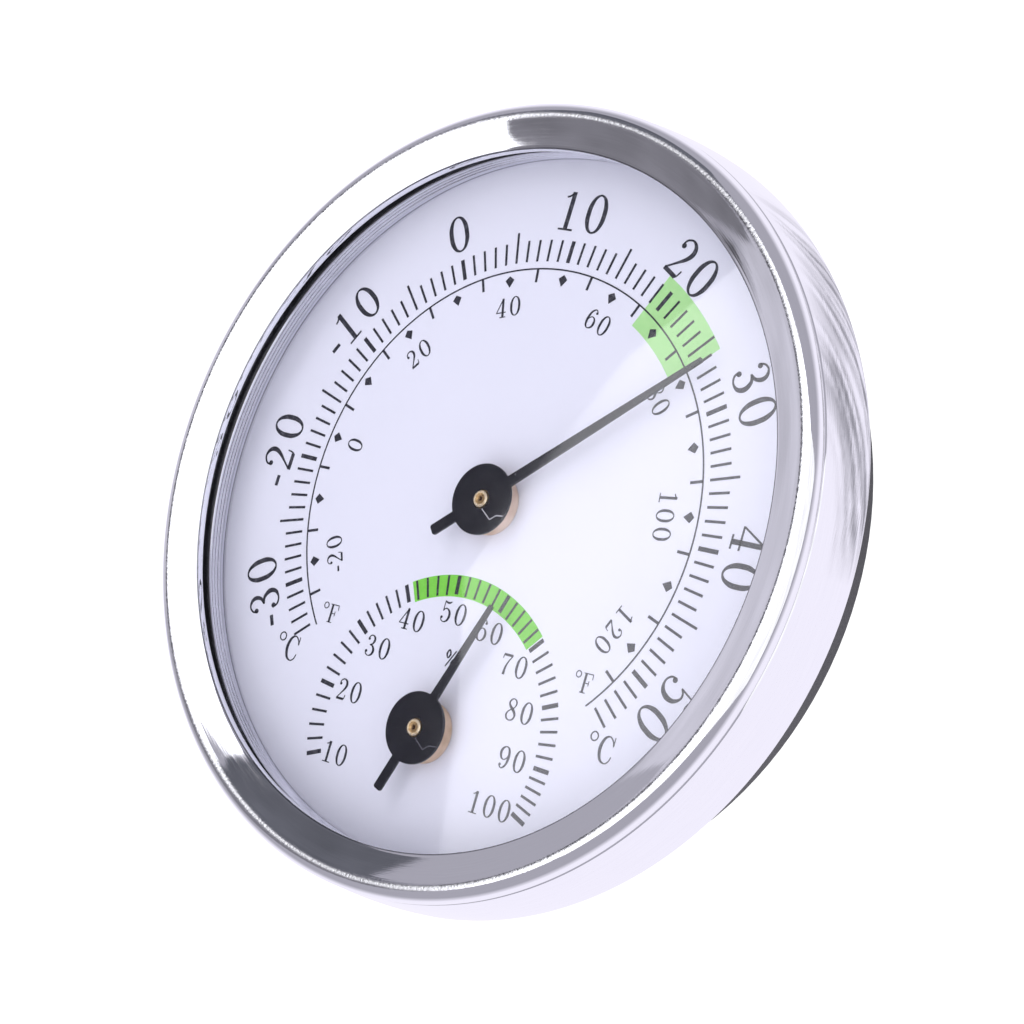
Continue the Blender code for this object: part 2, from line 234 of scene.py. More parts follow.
profile = [
    (0, cover_floor),
    (cover_radius - cover_wall, cover_floor),
    (cover_front_radius - cover_wall, flange_bottom),
    (cover_front_radius - cover_wall, flange_top),
    (flange_radius, flange_top),
    (flange_radius, flange_bottom),
    (cover_front_radius, flange_bottom),
    (cover_front_radius, bezel_edge_height),
]
profile += arc_points((cover_radius - cover_corner, cover_corner), cover_corner, 0, -90, 8)
profile += [
    (ring_step_radius, 0),
    (ring_step_radius - ring_step_depth, ring_step_depth),
    (ring_step_radius - ring_step_width, ring_step_depth),
    (ring_step_radius - ring_step_width - ring_step_depth, 0),
    (0, 0),
]
cup = turned(profile, 128, closed=False)
merge_flat_faces(cup)

openings = bmesh.new()
corner = math.degrees(math.acos(keyhole_slot_half / keyhole_radius))
outlines = [
    arc_points((0, keyhole_height), keyhole_radius, 180 - corner, 360 + corner, 40)
    + arc_points((0, keyhole_height + keyhole_slot_rise), keyhole_slot_half, 0, 180, 20),
    arc_points(humidity_pivot, setting_hole_radius, 0, 352.5, 47),
]
for angle in vent_places:
    middle = 90 - angle
    start, end = middle - vent_half_arc, middle + vent_half_arc
    start_middle = arc_points((0, 0), vent_radius, start, start, 1)[0]
    end_middle = arc_points((0, 0), vent_radius, end, end, 1)[0]
    outlines.append(
        arc_points((0, 0), vent_radius + vent_half_width, start, end, 24)
        + arc_points(end_middle, vent_half_width, end, end + 180, 10)[1:-1]
        + arc_points((0, 0), vent_radius - vent_half_width, end, start, 24)
        + arc_points(start_middle, vent_half_width, start + 180, start + 360, 10)[1:-1]
    )
for outline in outlines:
    openings.faces.new([openings.verts.new((x, y, 0)) for x, y in outline])
raise_faces(openings, -cover_floor, 2 * cover_floor)


def cut_away(work, cutter):
    """Cuts the cutter's closed shapes out of a piece and returns what is left."""
    holders = []
    for part in (work, cutter):
        mesh = bpy.data.meshes.new("cutting")
        part.to_mesh(mesh)
        part.free()
        holders.append(bpy.data.objects.new("cutting", mesh))
        bpy.context.scene.collection.objects.link(holders[-1])
    boolean = holders[0].modifiers.new("cut", "BOOLEAN")
    boolean.operation = "DIFFERENCE"
    boolean.solver = "EXACT"
    boolean.object = holders[1]
    bpy.context.view_layer.update()
    result = holders[0].evaluated_get(bpy.context.evaluated_depsgraph_get())
    left = bmesh.new()
    left.from_mesh(result.to_mesh())
    for holder in holders:
        bpy.data.objects.remove(holder)
    return left


cup = cut_away(cup, openings)
merge_flat_faces(cup)
ease_edges(cup, cover_edge_break)
cover = finished("rear_cover_moulding", cup, black_plastic, "case", 20)
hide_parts("rear_cover")


# Movement plate, bushes, spring washers and clips. Zinc-plated steel plate with two flanged brass
# bushes pressed through it; a blued spring-steel washer and clip on each axle hold it by friction.

plated_steel, tree, shader = new_finish("zinc_plated_steel")
brushing = noise(tree, place_of(tree, (60, 60, 4000)), 5, 4)
bloom = noise(tree, place_of(tree), 260, 3)
tint = mixed(tree, bloom, (0.50, 0.51, 0.54, 1), (0.66, 0.66, 0.62, 1))
surfaced(tree, shader, tint, brushing, 0.26, 0.46, 0.25, 0.01 * MM)
shader.inputs["Metallic"].default_value = 1

spring_steel, tree, shader = new_finish("blued_spring_steel")
heat = noise(tree, place_of(tree), 900, 3)
tint = mixed(tree, heat, (0.10, 0.12, 0.20, 1), (0.26, 0.24, 0.26, 1))
surfaced(tree, shader, tint, heat, 0.24, 0.4, 0.1, 0.01 * MM)
shader.inputs["Metallic"].default_value = 1


def turned_brass():
    """Turned brass, a little browner in patches, with fine rings left by the tool."""
    finish, tree, shader = new_finish("turned_brass")
    rings = noise(tree, place_of(tree, (700, 9000, 700)), 5, 3)
    patches = noise(tree, place_of(tree), 1500, 3)
    share = ranged(tree, patches, 0.35, 0.7, 0, 1)
    tint = mixed(tree, share, (0.86, 0.66, 0.36, 1), (0.66, 0.44, 0.20, 1))
    surfaced(tree, shader, tint, rings, 0.22, 0.4, 0.2, 0.01 * MM)
    shader.inputs["Metallic"].default_value = 1
    return finish


brass = turned_brass()
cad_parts["movement_plate"].data.materials[0] = plated_steel
for kind in ("thermometer", "hygrometer"):
    for part, finish in (
        ("bush", brass), ("pointer_washer", brass),
        ("spring_washer", spring_steel), ("retaining_clip", spring_steel),
    ):
        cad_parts[f"{kind}_{part}"].data.materials[0] = finish


# Axles. Brass pins turned from rod, with a shoulder that the spiral is fixed to, a centre-punched
# dimple in front and a screwdriver slot behind. Each is held in its bush by friction.

axle_radius = 0.75 * MM
seat_radius = 1.0 * MM
seat_bottom = 9.5 * MM
seat_top = 10.7 * MM
axle_tip = 11.5 * MM
axle_end = 5.3 * MM
dimple_radius = 0.26 * MM
dimple_depth = 0.22 * MM
slot_width = 0.4 * MM
slot_depth = 0.5 * MM
pivots = {"thermometer": Vector((0, 0, 0)), "hygrometer": humidity_pivot}


def centred_on(tree, pivot):
    """Object coordinates measured from a pointer's pivot, flattened on to the dial."""
    where = node(tree, "ShaderNodeTexCoord").outputs["Object"]
    offset = (-pivot.x, 0, -pivot.y)
    moved = node(tree, "ShaderNodeMapping", {"Vector": where, "Location": offset}).outputs["Vector"]
    return moved, vector_maths(tree, "MULTIPLY", moved, (1, 0, 1))


def axle_brass(kind, pivot):
    """Bright brass, browned inside the rim of the punched end, with painted shade darkening the
    punched dimple.
    """
    finish, tree, shader = new_finish(f"{kind}_axle_brass")
    moved, flat = centred_on(tree, pivot)
    out = vector_maths(tree, "LENGTH", flat)
    patches = noise(tree, moved, 3600, 4)
    share = ranged(tree, patches, 0.4, 0.7, 0, 1)
    rim = mixed(tree, share, (1.0, 0.86, 0.62, 1), (0.86, 0.64, 0.36, 1))
    browned = mixed(tree, share, (0.60, 0.40, 0.19, 1), (0.36, 0.22, 0.10, 1))
    tint = mixed(tree, ranged(tree, out, 0.46 * MM, 0.58 * MM, 0, 1), browned, rim)
    # Painted shade: the middle of the punched dimple is painted near-black.
    tint = mixed(tree, ranged(tree, out, 0.12 * MM, 0.26 * MM, 0, 1), (0.06, 0.03, 0.015, 1), tint)
    surfaced(tree, shader, tint, patches, 0.22, 0.4, 0.4, 0.02 * MM)
    shader.inputs["Metallic"].default_value = 0.9
    return finish


for kind, pivot in pivots.items():
    axle = turned(
        [
            (0, axle_tip - dimple_depth),
            (0.1 * MM, axle_tip - 0.17 * MM),
            (dimple_radius, axle_tip - 0.02 * MM),
            (dimple_radius + 0.06 * MM, axle_tip),
            (axle_radius - 0.12 * MM, axle_tip),
            (axle_radius, axle_tip - 0.08 * MM),
            (axle_radius, seat_top),
            (seat_radius, seat_top),
            (seat_radius, seat_bottom),
            (axle_radius, seat_bottom),
            (axle_radius, axle_end),
            (0, axle_end),
        ],
        48, closed=False,
    )
    blade = bmesh.new()
    size = Matrix.Diagonal((slot_width, 4 * axle_radius, 2 * slot_depth, 1))
    bmesh.ops.create_cube(blade, size=1, matrix=Matrix.Translation((0, 0, axle_end)) @ size)
    axle = cut_away(axle, blade)
    bmesh.ops.translate(axle, verts=axle.verts, vec=pivot)
    finish = axle_brass(kind, pivot)
    pin = finished(f"{kind}_axle_pin", axle, finish, f"{kind}_adjuster", 30)
    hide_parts(f"{kind}_axle")


# Dial plate. A thin aluminium disc sprayed with white lacquer, pierced for the two bushes. It
# lies in front of the movement plate, and the spacer ring holds it down round its edge.

white_lacquer, tree, shader = new_finish("white_dial_lacquer")
peel = noise(tree, place_of(tree), 1500, 2)
mottle = noise(tree, place_of(tree), 45, 3)
tint = mixed(tree, mottle, (0.785, 0.79, 0.87, 1), (0.81, 0.815, 0.89, 1))
surfaced(tree, shader, tint, peel, 0.42, 0.52, 0.05, 0.01 * MM)
shader.inputs["Specular IOR Level"].default_value = 0.12
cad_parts["dial_plate"].data.materials[0] = white_lacquer


# Printed scales. Ink laid on the lacquer by pad printing: the green comfort bands first, then the
# black marks and figures over them. The ink stands a few hundredths of a millimetre proud.

unit = 21.6 * MM
dial_face = 9.4 * MM
ink_sink = 0.02 * MM
band_height = 0.012 * MM
ink_height = 0.03 * MM


def dial_point(pivot, radius, angle):
    """A point at so many degrees clockwise from the top of a scale."""
    turn = math.radians(angle)
    return pivot + Vector((math.sin(turn), math.cos(turn), 0)) * radius


def print_arc(work, pivot, inner, outer, start, end, steps):
    """A curved strip between two radii."""
    ends = [work.verts.new(dial_point(pivot, radius, start)) for radius in (inner, outer)]
    edge = work.edges.new(ends)
    bmesh.ops.spin(
        work, geom=ends + [edge], cent=pivot, axis=(0, 0, 1), dvec=(0, 0, 0),
        angle=-math.radians(end - start), steps=steps, use_merge=False, use_duplicate=False,
    )


def print_tick(work, pivot, angle, inner, outer, width):
    """A straight mark that points away from the pivot."""
    middle = dial_point(pivot, (inner + outer) / 2, angle)
    turn = Matrix.Rotation(-math.radians(angle), 4, "Z")
    size = Matrix.Diagonal((width, outer - inner, 1, 1))
    place = Matrix.Translation(middle) @ turn @ size
    bmesh.ops.create_grid(work, x_segments=1, y_segments=1, size=0.5, matrix=place)


thin, thick = 0.048, 0.125
digit_advance = 0.86
six = [
    (0.49, 0.86, 0.05), (0.41, 0.95, 0.05), (0.29, 0.965, 0.06), (0.13, 0.78, 0.10),
    (0.075, 0.42, thick), (0.14, 0.12, 0.095), (0.31, 0.022, thin), (0.48, 0.12, 0.095),
    (0.545, 0.31, thick), (0.48, 0.52, 0.085), (0.33, 0.60, thin), (0.19, 0.53, 0.05),
    (0.115, 0.40, 0.045),
]
# Each character: its open pen strokes, its closed ones, its round ends and its advance, for a
# height of 1. A stroke is a row of (across, up, pen width), and a round end (across, up, radius).
characters = {
    "0": (
        [],
        [[
            (0.31, 0.978, thin), (0.17, 0.90, 0.08), (0.085, 0.70, 0.12), (0.07, 0.5, thick),
            (0.085, 0.30, 0.12), (0.17, 0.10, 0.08), (0.31, 0.022, thin), (0.45, 0.10, 0.08),
            (0.535, 0.30, 0.12), (0.55, 0.5, thick), (0.535, 0.70, 0.12), (0.45, 0.90, 0.08),
        ]],
        [], digit_advance,
    ),
    "1": (
        [
            [(0.335, 0.02, thick), (0.335, 0.985, thick)],
            [(0.13, 0.845, thin), (0.22, 0.87, thin), (0.33, 0.965, thin)],
            [(0.12, 0.022, thin), (0.56, 0.022, thin)],
        ],
        [], [], digit_advance,
    ),
    "2": (
        [
            [
                (0.085, 0.72, 0.045), (0.12, 0.88, 0.05), (0.28, 0.975, 0.055), (0.45, 0.90, 0.10),
                (0.51, 0.73, thick), (0.44, 0.53, 0.10), (0.26, 0.29, 0.055), (0.09, 0.07, thin),
            ],
            [(0.07, 0.055, 0.11), (0.50, 0.055, 0.11)],
            [(0.49, 0.04, 0.05), (0.535, 0.11, 0.04), (0.56, 0.26, 0.035)],
        ],
        [], [(0.13, 0.735, 0.068)], digit_advance,
    ),
    "3": (
        [
            [
                (0.085, 0.80, 0.045), (0.15, 0.92, 0.05), (0.29, 0.978, thin), (0.43, 0.90, 0.09),
                (0.47, 0.76, 0.11), (0.40, 0.60, 0.085), (0.25, 0.525, thin),
            ],
            [
                (0.24, 0.525, thin), (0.42, 0.485, 0.085), (0.53, 0.29, thick), (0.47, 0.10, 0.10),
                (0.29, 0.022, thin), (0.13, 0.08, 0.05), (0.075, 0.20, 0.045),
            ],
        ],
        [], [(0.125, 0.79, 0.066), (0.115, 0.215, 0.068)], digit_advance,
    ),
    "4": (
        [
            [(0.425, 0.02, thick), (0.425, 0.97, thick)],
            [(0.445, 0.985, 0.05), (0.05, 0.275, 0.045)],
            [(0.035, 0.265, thin), (0.61, 0.265, thin)],
            [(0.26, 0.022, thin), (0.60, 0.022, thin)],
        ],
        [], [], digit_advance,
    ),
    "5": (
        [
            [(0.125, 0.985, 0.04), (0.125, 0.50, 0.04)],
            [(0.11, 0.965, 0.05), (0.24, 0.915, 0.085), (0.38, 0.915, 0.085), (0.50, 0.985, 0.03)],
            [
                (0.125, 0.51, 0.04), (0.20, 0.61, 0.05), (0.32, 0.64, 0.055), (0.48, 0.53, 0.10),
                (0.535, 0.33, thick), (0.47, 0.12, 0.10), (0.29, 0.022, thin), (0.13, 0.08, 0.05),
                (0.075, 0.20, 0.045),
            ],
        ],
        [], [(0.115, 0.215, 0.066)], digit_advance,
    ),
    "6": ([six], [], [(0.455, 0.835, 0.062)], digit_advance),
    "7": (
        [
            [(0.09, 0.90, 0.11), (0.57, 0.90, 0.11)],
            [(0.10, 0.95, 0.035), (0.075, 0.87, 0.04), (0.055, 0.72, 0.035)],
            [(0.565, 0.89, 0.05), (0.41, 0.65, 0.06), (0.30, 0.36, 0.09), (0.275, 0.02, 0.14)],
        ],
        [], [], digit_advance,
    ),
    "8": (
        [],
        [[
            (0.31, 0.978, thin), (0.17, 0.91, 0.07), (0.115, 0.77, 0.085), (0.20, 0.63, 0.11),
            (0.36, 0.51, 0.13), (0.50, 0.37, 0.115), (0.545, 0.23, 0.085), (0.47, 0.08, 0.07),
            (0.31, 0.022, thin), (0.15, 0.08, 0.07), (0.075, 0.23, 0.085), (0.13, 0.38, 0.06),
            (0.28, 0.50, 0.045), (0.44, 0.62, 0.05), (0.50, 0.77, 0.07), (0.45, 0.91, 0.065),
        ]],
        [], digit_advance,
    ),
    "9": (
        [[(0.62 - x, 1 - y, width) for x, y, width in six]],
        [], [(0.165, 0.165, 0.062)], digit_advance,
    ),
    "-": ([[(0.05, 0.31, 0.10), (0.33, 0.31, 0.10)]], [], [], 0.46),
    "C": (
        [
            [
                (0.63, 0.68, 0.035), (0.58, 0.84, 0.05), (0.41, 0.978, thin), (0.20, 0.86, 0.10),
                (0.10, 0.5, 0.13), (0.20, 0.14, 0.10), (0.42, 0.022, thin), (0.58, 0.12, 0.045),
                (0.65, 0.30, 0.035),
            ],
            [(0.645, 0.98, 0.035), (0.645, 0.66, 0.035)],
        ],
        [], [], 0.72,
    ),
    "F": (
        [
            [(0.19, 0.02, 0.125), (0.19, 0.98, 0.125)],
            [(0.05, 0.975, 0.045), (0.62, 0.975, 0.045)],
            [(0.61, 0.985, 0.04), (0.64, 0.72, 0.035)],
            [(0.19, 0.50, 0.045), (0.45, 0.50, 0.045)],
            [(0.45, 0.63, 0.035), (0.45, 0.37, 0.035)],
            [(0.05, 0.022, 0.045), (0.38, 0.022, 0.045)],
        ],
        [], [], 0.70,
    ),
    "°": (
        [],
        [[
            (0.16, 1.02, 0.05), (0.05, 0.97, 0.05), (0.005, 0.86, 0.05), (0.05, 0.75, 0.05),
            (0.16, 0.70, 0.05), (0.27, 0.75, 0.05), (0.315, 0.86, 0.05), (0.27, 0.97, 0.05),
        ]],
        [], 0.42,
    ),
    "%": (
        [[(0.70, 1.0, 0.08), (0.16, 0.0, 0.08)]],
        [
            [(0.20, 0.99, 0.08), (0.07, 0.75, 0.12), (0.20, 0.51, 0.08), (0.33, 0.75, 0.12)],
            [(0.66, 0.49, 0.08), (0.53, 0.25, 0.12), (0.66, 0.01, 0.08), (0.79, 0.25, 0.12)],
        ],
        [], 0.90,
    ),
}
pen_steps = 5
side_space = 0.62


def pen_stroke(work, marks, place, closed):
    """Lays a stroke of changing width through its marks, curved where it has more than two."""
    count = len(marks)
    if count == 2:
        line = [Vector(mark) for mark in marks]
    else:
        line = []
        for i in range(count if closed else count - 1):
            near = [i - 1, i, i + 1, i + 2]
            near = [k % count if closed else min(max(k, 0), count - 1) for k in near]
            a, b, c, d = (Vector(marks[k]) for k in near)
            for step in range(pen_steps):
                t = step / pen_steps
                curve = (c - a) * t + (2 * a - 5 * b + 4 * c - d) * t ** 2
                line.append(b + 0.5 * (curve + (3 * b - a - 3 * c + d) * t ** 3))
        if not closed:
            line.append(Vector(marks[-1]))
    last = len(line) - 1
    sides = []
    for i, mark in enumerate(line):
        if closed:
            ahead = line[(i + 1) % len(line)] - line[i - 1]
        else:
            ahead = line[min(i + 1, last)] - line[max(i - 1, 0)]
        across = Vector((-ahead.y, ahead.x, 0)).normalized() * mark.z / 2
        middle = Vector((mark.x, mark.y, 0))
        sides.append([work.verts.new(place @ (middle + side)) for side in (across, -across)])
    if closed:
        sides.append(sides[0])
    for (left, right), (next_left, next_right) in zip(sides, sides[1:]):
        work.faces.new((left, right, next_right, next_left))


def print_text(work, text, centre, height, angle=0):
    """Prints characters with their middle at centre, turned so many degrees clockwise."""
    advances = [characters[letter][3] for letter in text]
    length = sum(advances[:-1]) + side_space
    turn = Matrix.Rotation(-math.radians(angle), 4, "Z")
    place = Matrix.Translation(centre) @ turn @ Matrix.Diagonal((height, height, 1, 1))
    along = -length / 2
    for letter, advance in zip(text, advances):
        strokes, loops, round_ends, _ = characters[letter]
        here = place @ Matrix.Translation((along, -0.5, 0))
        for marks in strokes:
            pen_stroke(work, marks, here, False)
        for marks in loops:
            pen_stroke(work, marks, here, True)
        for x, y, radius in round_ends:
            spot = here @ Matrix.Translation((x, y, 0))
            bmesh.ops.create_circle(work, cap_ends=True, segments=14, radius=radius, matrix=spot)
        along += advance


def ink_finish(name, first, second, rough):
    """Printing ink: nearly even, a little thinner in places."""
    finish, tree, shader = new_finish(name)
    thinner = noise(tree, place_of(tree), 1800, 4)
    share = ranged(tree, thinner, 0.35, 0.7, 0, 1)
    tint = mixed(tree, share, first, second)
    surfaced(tree, shader, tint, thinner, rough - 0.06, rough + 0.06, 0.1, 0.01 * MM)
    return finish


black_ink = ink_finish("black_ink", (0.018, 0.018, 0.026, 1), (0.040, 0.040, 0.054, 1), 0.25)
strong_green = ink_finish("strong_green_ink", (0.175, 0.60, 0.045, 1), (0.21, 0.65, 0.06, 1), 0.45)
pale_green = ink_finish("pale_green_ink", (0.39, 0.73, 0.28, 1), (0.44, 0.77, 0.32, 1), 0.45)

# Radii, lengths and widths on both scales are shares of the radius of the line between the two
# temperature scales; angles are degrees clockwise from the top.
celsius_step = 2.974
celsius_zero = 0.89 - 10 * celsius_step
fahrenheit_fifty = 1.03
fahrenheit_step = 1.6515
line_width = 0.0066
line_start, line_end = -131.0, 133.6
tick_width, bold_width = 0.0106, 0.018
tick_foot, tick_head, five_head = 1.032, 1.125, 1.166
inner_tick_foot, inner_tick_head, inner_tick_width = 0.942, 0.999, 0.0115
kite = [(0.98, 0), (0.962, 0.0225), (0.93, 0), (0.962, -0.0225)]
celsius_figures, celsius_height = 1.25, 0.168
fahrenheit_figures, fahrenheit_height = 0.845, 0.085
main_pivot = pivots["thermometer"]
marks = bmesh.new()
inner, outer = (1 - line_width / 2) * unit, (1 + line_width / 2) * unit
print_arc(marks, main_pivot, inner, outer, line_start, line_end, 180)
for degree in range(-34, 55):
    angle = celsius_zero + celsius_step * degree
    head = five_head if degree % 5 == 0 and degree % 10 else tick_head
    width = bold_width if degree % 10 == 0 else tick_width
    print_tick(marks, main_pivot, angle, tick_foot * unit, head * unit, width * unit)
for degree in range(-30, 51, 10):
    angle = celsius_zero + celsius_step * degree
    spot = dial_point(main_pivot, celsius_figures * unit, angle)
    print_text(marks, str(degree), spot, celsius_height * unit, angle)
for degree in range(-25, 126, 10):
    angle = fahrenheit_fifty + fahrenheit_step * (degree - 50)
    foot, head = inner_tick_foot * unit, inner_tick_head * unit
    print_tick(marks, main_pivot, angle, foot, head, inner_tick_width * unit)
for degree in range(-20, 121, 10):
    angle = fahrenheit_fifty + fahrenheit_step * (degree - 50)
    corners = []
    for radius, half_width in kite:
        lean = math.degrees(half_width / radius)
        corners.append(marks.verts.new(dial_point(main_pivot, radius * unit, angle + lean)))
    marks.faces.new(corners)
    if degree % 20 == 0:
        spot = dial_point(main_pivot, fahrenheit_figures * unit, angle)
        print_text(marks, str(degree), spot, fahrenheit_height * unit, angle)
for text, x, y, height in (
    ("°C", -0.88, -0.78, 0.11), ("°C", 0.845, -0.83, 0.11),
    ("°F", -0.70, -0.595, 0.08), ("°F", 0.68, -0.605, 0.08),
):
    print_text(marks, text, Vector((x, y, 0)) * unit, height * unit)

# The humidity scale isn't even: these are the angles of its tens, from 10 to 100 percent, and
# where the middle of each figure stands from the pivot.
tens = [-111, -83, -56, -31, -6, 19, 43, 68, 92, 112]
figures = [
    (-0.45, -0.195), (-0.47, 0.0675), (-0.3875, 0.2725), (-0.25, 0.4175), (-0.045, 0.485),
    (0.1625, 0.4475), (0.33, 0.3425), (0.42, 0.175), (0.45, -0.0125), (0.4075, -0.2125),
]
ten_foot, ten_head = 0.565 * unit, 0.642 * unit
two_foot, two_head, two_width = 0.56 * unit, 0.643 * unit, 0.0105 * unit
humidity_height, percent_height = 0.09 * unit, 0.07 * unit
percent_spot = humidity_pivot + Vector((0, 0.305, 0)) * unit
for place, (start, end) in enumerate(zip(tens, tens[1:] + [None])):
    print_tick(marks, humidity_pivot, start, ten_foot, ten_head, bold_width * unit)
    figure = humidity_pivot + Vector((*figures[place], 0)) * unit
    print_text(marks, str(10 * place + 10), figure, humidity_height)
    if end is not None:
        for fifth in range(1, 5):
            angle = start + (end - start) * fifth / 5
            print_tick(marks, humidity_pivot, angle, two_foot, two_head, two_width)
print_text(marks, "%", percent_spot, percent_height)
raise_faces(marks, dial_face - ink_sink, dial_face + ink_height)
finished("scale_marks", marks, black_ink, "case")

# Each green band: its ink, then its pivot, two radii, first and last angle, and number of steps.
warm, cool = celsius_zero + celsius_step * 26, celsius_zero + celsius_step * 19
for name, finish, shape in (
    ("temperature_band", pale_green, (main_pivot, 0.918 * unit, 1.167 * unit, cool, warm, 24)),
    ("humidity_band", strong_green, (humidity_pivot, 0.555 * unit, 0.645 * unit, -28, 41.6, 48)),
):
    band = bmesh.new()
    print_arc(band, *shape)
    raise_faces(band, dial_face - ink_sink, dial_face + band_height)
    finished(name, band, finish, "case")


# Spirals. A bimetal strip drives the thermometer, and a strip of brass foil with a film that swells
# in damp air drives the hygrometer. The inner end is fixed to the axle's shoulder and the outer end
# to the pointer's tab. In the gauge the strip winds up as the pointer turns; here it is built at
# the present reading and stays still.

spiral_bottom = 9.5 * MM
spiral_top = 10.7 * MM
spiral_radius = 2.9 * MM
steps_per_turn = 64
readings = {"thermometer": 50.9, "hygrometer": 20.5}


def strip_finish(name, pale, dark, metallic):
    """Rolled strip, drawn out along its length and blotched where it has aged."""
    finish, tree, shader = new_finish(name)
    along = noise(tree, place_of(tree, (900, 7000, 900)), 5, 3)
    blotch = noise(tree, place_of(tree), 700, 3)
    share = ranged(tree, blotch, 0.35, 0.7, 0, 1)
    tint = mixed(tree, share, pale, dark)
    surfaced(tree, shader, tint, along, 0.38, 0.56, 0.2, 0.01 * MM)
    shader.inputs["Metallic"].default_value = metallic
    return finish


# Each strip's turns, thickness, slot and finish.
spiral_strips = {
    "thermometer": (
        4.5, 0.15 * MM, "bimetal_strip",
        strip_finish("bimetal_strip", (0.86, 0.68, 0.54, 1), (0.70, 0.51, 0.37, 1), 0.55),
    ),
    "hygrometer": (
        3.0, 0.25 * MM, "laminate_strip",
        strip_finish("humidity_strip", (0.84, 0.64, 0.47, 1), (0.64, 0.45, 0.28, 1), 0.35),
    ),
}
for kind, pivot in pivots.items():
    turns, strip, slot, finish = spiral_strips[kind]
    inner = seat_radius + strip / 2
    outer = spiral_radius - strip / 2
    coil = bmesh.new()
    wound = coil.verts.layers.float.new("wound")
    last = round(turns * steps_per_turn)
    sides = []
    for step in range(last + 1):
        share = step / last
        middle = inner + (outer - inner) * share
        angle = 180 + readings[kind] - 360 * turns * (1 - share)
        pair = []
        for radius in (middle - strip / 2, middle + strip / 2):
            corner = coil.verts.new(dial_point(pivot, radius, angle))
            corner[wound] = share
            pair.append(corner)
        sides.append(pair)
    for (left, right), (next_left, next_right) in zip(sides, sides[1:]):
        coil.faces.new((left, right, next_right, next_left))
    raise_faces(coil, spiral_bottom, spiral_top)
    spiral = finished(f"{kind}_spiral", coil, finish, None)
    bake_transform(spiral)
    spiral.data.attributes.remove(spiral.data.attributes["wound"])
    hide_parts(f"{kind}_coil")


# Pointers. Each is one stamping of thin brass sheet, black lacquered: a round hub that hides the
# spiral, a long needle, a short tail, and a tab bent down to hold the spiral's outer end.

needle_bottom = 11.05 * MM
needle_top = 11.35 * MM
hub_radius = 3.2 * MM
bore_radius = 0.85 * MM
tab_half = 0.4 * MM
tab_inner = 3.0 * MM
tab_outer = 3.2 * MM
tab_foot = 9.8 * MM
tab_sink = 0.06 * MM
tail_chamfer = 0.15 * MM
stamping_edge_break = 0.05 * MM
# Each pointer's tip and tail from its pivot, the width of its needle, and the width at the tip.
needles = {
    "thermometer": (24.1 * MM, 5.8 * MM, 1.0 * MM, 0.45 * MM),
    "hygrometer": (12.6 * MM, 6.4 * MM, 0.9 * MM, 0.45 * MM),
}
scratch_bends = [(0.45, -0.85), (1.60, -1.62), (2.15, -1.17), (2.90, -1.08)]


def black_lacquer(kind, pivot):
    """Glossy black lacquer with dust, and one bent hairline scratch across the hub; on the
    thermometer the scratch and dust are painted pale grey as a painted highlight.
    """
    finish, tree, shader = new_finish(f"{kind}_black_lacquer")
    centred, flat = centred_on(tree, pivot)
    faults = []
    for start, end in zip(scratch_bends, scratch_bends[1:]):
        first, second = (Vector((x, 0, z)) * MM for x, z in (start, end))
        run = second - first
        away = vector_maths(tree, "SUBTRACT", flat, first)
        share = vector_maths(tree, "DOT_PRODUCT", away, run / run.length_squared)
        along = node(tree, "ShaderNodeClamp", {"Value": share})
        inputs = {0: run, "Scale": along.outputs[0]}
        foot = node(tree, "ShaderNodeVectorMath", inputs, operation="SCALE")
        gap = vector_maths(tree, "DISTANCE", away, foot.outputs[0])
        faults.append(ranged(tree, gap, 0.02 * MM, 0.055 * MM, 1, 0))
    specks = node(tree, "ShaderNodeTexVoronoi", {"Vector": centred, "Scale": 420})
    faults.append(ranged(tree, specks.outputs["Distance"], 0.03, 0.05, 0.8, 0))
    faulty = faults[0]
    for fault in faults[1:]:
        faulty = maths(tree, "MAXIMUM", faulty, fault)
    # Painted highlight: on the thermometer the scratch and dust specks are painted pale grey, as if
    # catching the light; on the hygrometer they stay dark.
    scratch_and_glint_tint = (0.62, 0.62, 0.64, 1) if kind == "thermometer" else (0.13, 0.13, 0.15, 1)
    tint = mixed(tree, faulty, (0.012, 0.012, 0.017, 1), scratch_and_glint_tint)
    surfaced(tree, shader, tint, noise(tree, centred, 600, 4), 0.06, 0.10, 0.05, 0.02 * MM)
    return finish


